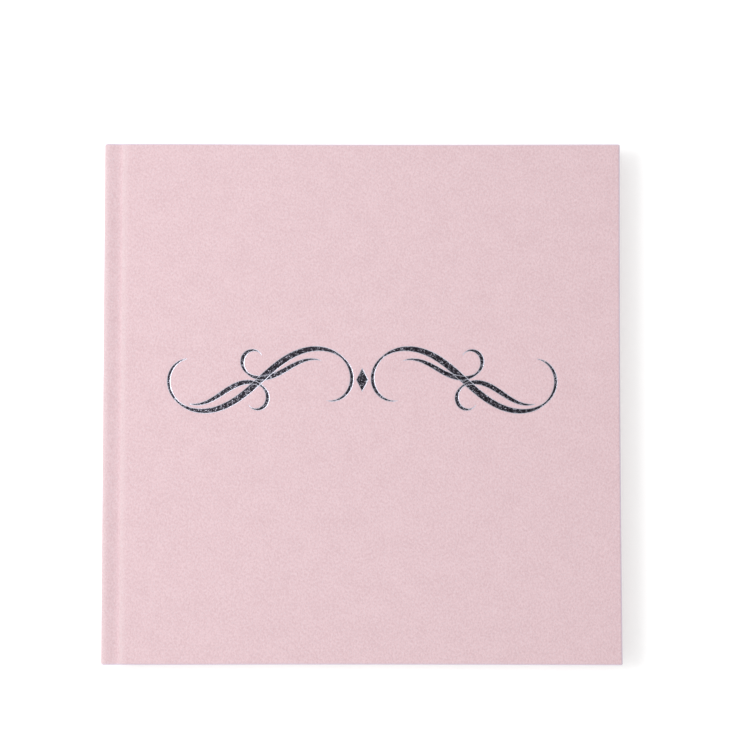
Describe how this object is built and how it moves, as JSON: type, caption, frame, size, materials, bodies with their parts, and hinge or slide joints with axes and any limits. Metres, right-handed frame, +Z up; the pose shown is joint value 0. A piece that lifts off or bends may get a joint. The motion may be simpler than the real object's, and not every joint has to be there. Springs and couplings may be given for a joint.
{
  "type": "wedding guest book",
  "caption": "Square case-bound guest book in blush suede cloth, with a dark foil flourish on the front cover, hinged covers and leaves that turn.",
  "frame": {"origin": "under the middle of the closed book, on the surface that it lies on", "axes": "+X from the spine to the fore edge, +Y from the tail to the head of the pages, +Z up through the front cover"},
  "size_m": [0.2148, 0.216, 0.0181],
  "materials": {
    "cover_cloth": "matt napped suede cloth, blush pink",
    "greyboard": "raw grey binder's board",
    "endpaper": "smooth uncoated ivory paper",
    "page_paper": "uncoated white writing paper",
    "lining_paper": "brown kraft paper",
    "mull_gauze": "open starched gauze",
    "band_cloth": "woven band in two colours",
    "linen_thread": "waxed linen",
    "gunmetal_foil": "hot-stamped dark silver foil with bright flecks"
  },
  "bodies": {
    "back_cover": {"back_board": "greyboard", "back_cloth": "cover_cloth", "back_joint_cloth": "cover_cloth", "back_pastedown": "endpaper"},
    "book_block": {"spine_board": "greyboard", "spine_cloth": "cover_cloth", "spine_lining": "lining_paper", "mull": "mull_gauze", "head_band": "band_cloth", "tail_band": "band_cloth", "sewing_thread": "linen_thread"},
    "front_cover": {"front_board": "greyboard", "front_cloth": "cover_cloth", "front_joint_cloth": "cover_cloth", "front_pastedown": "endpaper", "cover_ornament": "gunmetal_foil"},
    "front_flyleaf": {"front_flyleaf": "endpaper"},
    "front_leaf_1": {"front_leaf_1": "page_paper"},
    "front_leaf_2": {"front_leaf_2": "page_paper"},
    "front_leaf_3": {"front_leaf_3": "page_paper"},
    "front_leaf_4": {"front_leaf_4": "page_paper"},
    "section_02": {"section_02": "page_paper"},
    "section_03": {"section_03": "page_paper"},
    "section_04": {"section_04": "page_paper"},
    "section_05": {"section_05": "page_paper"},
    "section_06": {"section_06": "page_paper"},
    "section_07": {"section_07": "page_paper"},
    "section_08": {"section_08": "page_paper"},
    "section_09": {"section_09": "page_paper"},
    "section_10": {"section_10": "page_paper"},
    "section_11": {"section_11": "page_paper"},
    "back_leaf_4": {"back_leaf_4": "page_paper"},
    "back_leaf_3": {"back_leaf_3": "page_paper"},
    "back_leaf_2": {"back_leaf_2": "page_paper"},
    "back_leaf_1": {"back_leaf_1": "page_paper"},
    "back_flyleaf": {"back_flyleaf": "endpaper"}
  },
  "joints": [
    {"name": "back_cover_hinge", "type": "hinge", "parent": "back_cover", "child": "book_block", "pos_m": [-0.10737, 0, 0], "axis": [0, -1, 0], "range_deg": [0, 90]},
    {"name": "front_cover_hinge", "type": "hinge", "parent": "book_block", "child": "front_cover", "pos_m": [-0.10737, 0, 0.0181], "axis": [0, -1, 0], "range_deg": [0, 90]},
    {"name": "front_flyleaf_turn", "type": "hinge", "parent": "book_block", "child": "front_flyleaf", "pos_m": [-0.10364, 0, 0.01457], "axis": [0, -1, 0], "range_deg": [0, 82]},
    {"name": "front_leaf_1_turn", "type": "hinge", "parent": "book_block", "child": "front_leaf_1", "pos_m": [-0.10364, 0, 0.01457], "axis": [0, -1, 0], "range_deg": [0, 74]},
    {"name": "front_leaf_2_turn", "type": "hinge", "parent": "book_block", "child": "front_leaf_2", "pos_m": [-0.10364, 0, 0.01457], "axis": [0, -1, 0], "range_deg": [0, 66]},
    {"name": "front_leaf_3_turn", "type": "hinge", "parent": "book_block", "child": "front_leaf_3", "pos_m": [-0.10364, 0, 0.01457], "axis": [0, -1, 0], "range_deg": [0, 58]},
    {"name": "front_leaf_4_turn", "type": "hinge", "parent": "book_block", "child": "front_leaf_4", "pos_m": [-0.10364, 0, 0.01457], "axis": [0, -1, 0], "range_deg": [0, 50]},
    {"name": "section_02_turn", "type": "hinge", "parent": "book_block", "child": "section_02", "pos_m": [-0.10322, 0, 0.01306], "axis": [0, -1, 0], "range_deg": [0, 23]},
    {"name": "section_03_turn", "type": "hinge", "parent": "book_block", "child": "section_03", "pos_m": [-0.10322, 0, 0.01217], "axis": [0, -1, 0], "range_deg": [0, 18]},
    {"name": "section_04_turn", "type": "hinge", "parent": "book_block", "child": "section_04", "pos_m": [-0.10322, 0, 0.01128], "axis": [0, -1, 0], "range_deg": [0, 13]},
    {"name": "section_05_turn", "type": "hinge", "parent": "book_block", "child": "section_05", "pos_m": [-0.10322, 0, 0.01039], "axis": [0, -1, 0], "range_deg": [0, 8]},
    {"name": "section_06_turn", "type": "hinge", "parent": "book_block", "child": "section_06", "pos_m": [-0.10322, 0, 0.00949], "axis": [0, -1, 0], "range_deg": [0, 3]},
    {"name": "section_07_turn", "type": "hinge", "parent": "book_block", "child": "section_07", "pos_m": [-0.10322, 0, 0.0086], "axis": [0, -1, 0], "range_deg": [-3, 0]},
    {"name": "section_08_turn", "type": "hinge", "parent": "book_block", "child": "section_08", "pos_m": [-0.10322, 0, 0.00771], "axis": [0, -1, 0], "range_deg": [-8, 0]},
    {"name": "section_09_turn", "type": "hinge", "parent": "book_block", "child": "section_09", "pos_m": [-0.10322, 0, 0.00683], "axis": [0, -1, 0], "range_deg": [-13, 0]},
    {"name": "section_10_turn", "type": "hinge", "parent": "book_block", "child": "section_10", "pos_m": [-0.10322, 0, 0.00594], "axis": [0, -1, 0], "range_deg": [-18, 0]},
    {"name": "section_11_turn", "type": "hinge", "parent": "book_block", "child": "section_11", "pos_m": [-0.10322, 0, 0.00505], "axis": [0, -1, 0], "range_deg": [-23, 0]},
    {"name": "back_leaf_4_turn", "type": "hinge", "parent": "book_block", "child": "back_leaf_4", "pos_m": [-0.10364, 0, 0.00353], "axis": [0, -1, 0], "range_deg": [-50, 0]},
    {"name": "back_leaf_3_turn", "type": "hinge", "parent": "book_block", "child": "back_leaf_3", "pos_m": [-0.10364, 0, 0.00353], "axis": [0, -1, 0], "range_deg": [-58, 0]},
    {"name": "back_leaf_2_turn", "type": "hinge", "parent": "book_block", "child": "back_leaf_2", "pos_m": [-0.10364, 0, 0.00353], "axis": [0, -1, 0], "range_deg": [-66, 0]},
    {"name": "back_leaf_1_turn", "type": "hinge", "parent": "book_block", "child": "back_leaf_1", "pos_m": [-0.10364, 0, 0.00353], "axis": [0, -1, 0], "range_deg": [-74, 0]},
    {"name": "back_flyleaf_turn", "type": "hinge", "parent": "book_block", "child": "back_flyleaf", "pos_m": [-0.10364, 0, 0.00353], "axis": [0, -1, 0], "range_deg": [-82, 0]}
  ],
  "couplings": [
    {"joint": "front_flyleaf_turn", "follows": "front_cover_hinge", "ratio": 0.91111},
    {"joint": "front_leaf_1_turn", "follows": "front_cover_hinge", "ratio": 0.82222},
    {"joint": "front_leaf_2_turn", "follows": "front_cover_hinge", "ratio": 0.73333},
    {"joint": "front_leaf_3_turn", "follows": "front_cover_hinge", "ratio": 0.64444},
    {"joint": "front_leaf_4_turn", "follows": "front_cover_hinge", "ratio": 0.55556},
    {"joint": "section_02_turn", "follows": "front_cover_hinge", "ratio": 0.25555},
    {"joint": "section_03_turn", "follows": "front_cover_hinge", "ratio": 0.2},
    {"joint": "section_04_turn", "follows": "front_cover_hinge", "ratio": 0.14444},
    {"joint": "section_05_turn", "follows": "front_cover_hinge", "ratio": 0.088888},
    {"joint": "section_06_turn", "follows": "front_cover_hinge", "ratio": 0.033333},
    {"joint": "section_07_turn", "follows": "back_cover_hinge", "ratio": -0.033333},
    {"joint": "section_08_turn", "follows": "back_cover_hinge", "ratio": -0.088888},
    {"joint": "section_09_turn", "follows": "back_cover_hinge", "ratio": -0.14444},
    {"joint": "section_10_turn", "follows": "back_cover_hinge", "ratio": -0.2},
    {"joint": "section_11_turn", "follows": "back_cover_hinge", "ratio": -0.25555},
    {"joint": "back_leaf_4_turn", "follows": "back_cover_hinge", "ratio": -0.55556},
    {"joint": "back_leaf_3_turn", "follows": "back_cover_hinge", "ratio": -0.64444},
    {"joint": "back_leaf_2_turn", "follows": "back_cover_hinge", "ratio": -0.73333},
    {"joint": "back_leaf_1_turn", "follows": "back_cover_hinge", "ratio": -0.82222},
    {"joint": "back_flyleaf_turn", "follows": "back_cover_hinge", "ratio": -0.91111}
  ]
}
